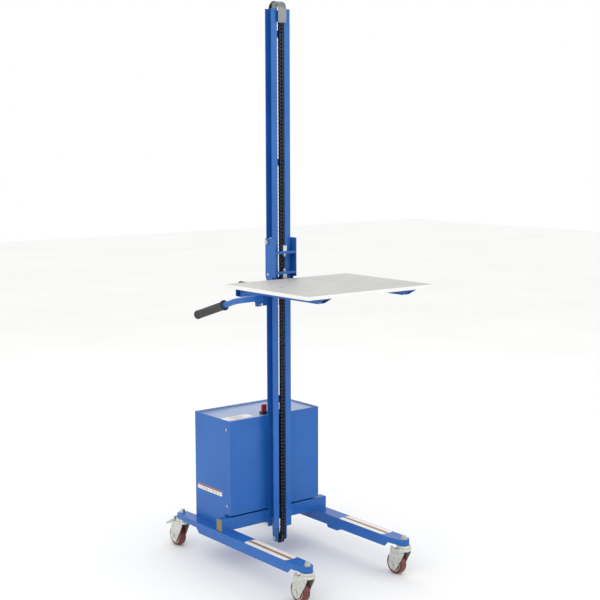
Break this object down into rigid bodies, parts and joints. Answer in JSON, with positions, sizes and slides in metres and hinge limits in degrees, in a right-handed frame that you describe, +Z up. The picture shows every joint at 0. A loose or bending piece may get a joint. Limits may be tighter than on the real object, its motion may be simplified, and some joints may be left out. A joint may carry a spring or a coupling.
{
  "type": "portable mast lift table",
  "caption": "Portable powered mast lift: a chain-driven carriage raises a flat platform on a twin-channel mast over a straddle base with swivel casters.",
  "frame": {"origin": "on the floor, under the middle of the object's bounding box", "axes": "+Z up along the mast; the platform reaches towards -Y and the handles towards +Y; +X to the right seen from the front"},
  "size_m": [0.55, 0.931, 2.007],
  "materials": {
    "blue_paint": "semi-gloss baked enamel",
    "light_tray": "satin",
    "platform_grey": "matte laminate",
    "zinc": "bright zinc plate",
    "dark_steel": "oiled black steel",
    "aluminium": "mill finish",
    "black_rubber": "ribbed rubber",
    "maroon_tyre": "polyurethane tread",
    "nylon": "natural nylon",
    "black_plastic": "moulded",
    "red_plastic": "gloss",
    "tan_plastic": "moulded plug",
    "gear_grey": "hammered grey"
  },
  "bodies": {
    "frame": {"mast_channel_left": "blue_paint", "mast_channel_right": "blue_paint", "mast_spacers": "blue_paint", "mast_mounts": "blue_paint", "top_cap": "aluminium", "sprocket_axles": "zinc", "bottom_bracket_plates": "blue_paint", "lift_chain": "dark_steel", "drive_brackets": "blue_paint", "gearbox": "gear_grey", "drive_motor": "black_plastic", "battery": "black_plastic", "motor_controller": "aluminium", "cabinet_shell": "blue_paint", "cabinet_rear_cover": "blue_paint", "cabinet_tray": "light_tray", "cabinet_screws": "zinc", "switch_bases": "black_plastic", "base_leg_left": "blue_paint", "base_leg_right": "blue_paint", "base_crossbar": "blue_paint", "crossbar_end_plugs": "tan_plastic", "caster_heads": "zinc", "caster_stem_nuts": "zinc", "handle_clamps": "blue_paint", "frame_bolts": "zinc"},
    "carriage": {"carriage_side_plates": "blue_paint", "carriage_crossbars": "blue_paint", "chain_anchors": "zinc", "roller_axles": "zinc", "support_tube": "blue_paint", "platform_arm_left": "blue_paint", "platform_arm_right": "blue_paint", "platform_board": "platform_grey", "platform_screws": "zinc"},
    "top_sprocket": {"top_sprocket": "dark_steel"},
    "bottom_sprocket": {"bottom_sprocket": "dark_steel"},
    "drive_sprocket": {"drive_sprocket": "dark_steel"},
    "chain_guide_roller_upper": {"chain_guide_roller_upper": "nylon"},
    "chain_guide_roller_lower": {"chain_guide_roller_lower": "nylon"},
    "power_switch": {"power_switch_lever": "red_plastic"},
    "lift_switch": {"lift_switch_lever": "black_plastic"},
    "handle_left": {"handle_tube_left": "blue_paint", "handle_grip_left": "black_rubber"},
    "handle_right": {"handle_tube_right": "blue_paint", "handle_grip_right": "black_rubber"},
    "mast_roller_upper_left": {"mast_roller_upper_left": "nylon"},
    "mast_roller_upper_right": {"mast_roller_upper_right": "nylon"},
    "mast_roller_lower_left": {"mast_roller_lower_left": "nylon"},
    "mast_roller_lower_right": {"mast_roller_lower_right": "nylon"},
    "fork_fl": {"caster_fork_fl": "zinc"},
    "wheel_fl": {"caster_wheel_fl": "maroon_tyre"},
    "fork_fr": {"caster_fork_fr": "zinc"},
    "wheel_fr": {"caster_wheel_fr": "maroon_tyre"},
    "fork_rl": {"caster_fork_rl": "zinc"},
    "wheel_rl": {"caster_wheel_rl": "maroon_tyre"},
    "pedal_rl": {"brake_pedal_rl": "zinc"},
    "fork_rr": {"caster_fork_rr": "zinc"},
    "wheel_rr": {"caster_wheel_rr": "maroon_tyre"},
    "pedal_rr": {"brake_pedal_rr": "zinc"}
  },
  "joints": [
    {"name": "lift", "type": "slide", "parent": "frame", "child": "carriage", "axis": [0, 0, 1], "range_m": [-0.838, 0.7]},
    {"name": "top_sprocket_spin", "type": "hinge", "parent": "frame", "child": "top_sprocket", "pos_m": [0, 0.0455, 1.955], "axis": [1, 0, 0], "range_deg": [-3050, 3050]},
    {"name": "bottom_sprocket_spin", "type": "hinge", "parent": "frame", "child": "bottom_sprocket", "pos_m": [0, 0.0455, 0.0754], "axis": [1, 0, 0], "range_deg": [-3050, 3050]},
    {"name": "drive_sprocket_spin", "type": "hinge", "parent": "frame", "child": "drive_sprocket", "pos_m": [0, 0.11679, 0.33575], "axis": [1, 0, 0], "range_deg": [-1250, 1250]},
    {"name": "chain_guide_upper_spin", "type": "hinge", "parent": "frame", "child": "chain_guide_roller_upper", "pos_m": [0, 0.07869, 0.3929], "axis": [1, 0, 0], "range_deg": [-2950, 2950]},
    {"name": "chain_guide_lower_spin", "type": "hinge", "parent": "frame", "child": "chain_guide_roller_lower", "pos_m": [0, 0.07869, 0.2786], "axis": [1, 0, 0], "range_deg": [-2950, 2950]},
    {"name": "mast_roller_upper_left_spin", "type": "hinge", "parent": "carriage", "child": "mast_roller_upper_left", "pos_m": [0, 0.0455, 1.168], "axis": [1, 0, 0], "range_deg": [-3150, 3150]},
    {"name": "mast_roller_upper_right_spin", "type": "hinge", "parent": "carriage", "child": "mast_roller_upper_right", "pos_m": [0, 0.0455, 1.168], "axis": [1, 0, 0], "range_deg": [-3150, 3150]},
    {"name": "mast_roller_lower_left_spin", "type": "hinge", "parent": "carriage", "child": "mast_roller_lower_left", "pos_m": [0, 0.0455, 1.052], "axis": [1, 0, 0], "range_deg": [-3150, 3150]},
    {"name": "mast_roller_lower_right_spin", "type": "hinge", "parent": "carriage", "child": "mast_roller_lower_right", "pos_m": [0, 0.0455, 1.052], "axis": [1, 0, 0], "range_deg": [-3150, 3150]},
    {"name": "handle_left_tilt", "type": "hinge", "parent": "frame", "child": "handle_left", "pos_m": [0, 0.0815, 0.964], "axis": [1, 0, 0], "range_deg": [-20, 70]},
    {"name": "handle_right_tilt", "type": "hinge", "parent": "frame", "child": "handle_right", "pos_m": [0, 0.0815, 0.964], "axis": [1, 0, 0], "range_deg": [-36, 54]},
    {"name": "caster_swivel_fl", "type": "hinge", "parent": "frame", "child": "fork_fl", "pos_m": [-0.218, -0.3885, 0.1044], "axis": [0, 0, 1], "continuous": true},
    {"name": "caster_wheel_fl_spin", "type": "hinge", "parent": "fork_fl", "child": "wheel_fl", "pos_m": [-0.218, -0.3525, 0.0381], "axis": [1, 0, 0], "continuous": true},
    {"name": "caster_swivel_fr", "type": "hinge", "parent": "frame", "child": "fork_fr", "pos_m": [0.218, -0.3885, 0.1044], "axis": [0, 0, 1], "continuous": true},
    {"name": "caster_wheel_fr_spin", "type": "hinge", "parent": "fork_fr", "child": "wheel_fr", "pos_m": [0.218, -0.3525, 0.0381], "axis": [1, 0, 0], "continuous": true},
    {"name": "caster_swivel_rl", "type": "hinge", "parent": "frame", "child": "fork_rl", "pos_m": [-0.218, 0.3625, 0.1044], "axis": [0, 0, 1], "continuous": true},
    {"name": "caster_wheel_rl_spin", "type": "hinge", "parent": "fork_rl", "child": "wheel_rl", "pos_m": [-0.218, 0.3985, 0.0381], "axis": [1, 0, 0], "continuous": true},
    {"name": "brake_pedal_rl_press", "type": "hinge", "parent": "fork_rl", "child": "pedal_rl", "pos_m": [-0.218, 0.4045, 0.094], "axis": [1, 0, 0], "range_deg": [-12, 0]},
    {"name": "caster_swivel_rr", "type": "hinge", "parent": "frame", "child": "fork_rr", "pos_m": [0.218, 0.3625, 0.1044], "axis": [0, 0, 1], "continuous": true},
    {"name": "caster_wheel_rr_spin", "type": "hinge", "parent": "fork_rr", "child": "wheel_rr", "pos_m": [0.218, 0.3985, 0.0381], "axis": [1, 0, 0], "continuous": true},
    {"name": "brake_pedal_rr_press", "type": "hinge", "parent": "fork_rr", "child": "pedal_rr", "pos_m": [0.218, 0.4045, 0.094], "axis": [1, 0, 0], "range_deg": [-12, 0]},
    {"name": "power_switch_tilt", "type": "hinge", "parent": "frame", "child": "power_switch", "pos_m": [-0.017, 0.1155, 0.535], "axis": [1, 0, 0], "range_deg": [-14, 14]},
    {"name": "lift_switch_tilt", "type": "hinge", "parent": "frame", "child": "lift_switch", "pos_m": [0.034, 0.1155, 0.535], "axis": [1, 0, 0], "range_deg": [-12, 12], "stiffness_Nm_per_rad": 0.05}
  ],
  "couplings": [
    {"joint": "top_sprocket_spin", "follows": "lift", "rad_per_m": -61.842},
    {"joint": "bottom_sprocket_spin", "follows": "lift", "rad_per_m": -61.842},
    {"joint": "drive_sprocket_spin", "follows": "lift", "rad_per_m": -24.737},
    {"joint": "chain_guide_upper_spin", "follows": "lift", "rad_per_m": 60.265},
    {"joint": "chain_guide_lower_spin", "follows": "lift", "rad_per_m": 60.265},
    {"joint": "mast_roller_upper_left_spin", "follows": "lift", "rad_per_m": 64.516},
    {"joint": "mast_roller_upper_right_spin", "follows": "lift", "rad_per_m": 64.516},
    {"joint": "mast_roller_lower_left_spin", "follows": "lift", "rad_per_m": -64.516},
    {"joint": "mast_roller_lower_right_spin", "follows": "lift", "rad_per_m": -64.516}
  ]
}
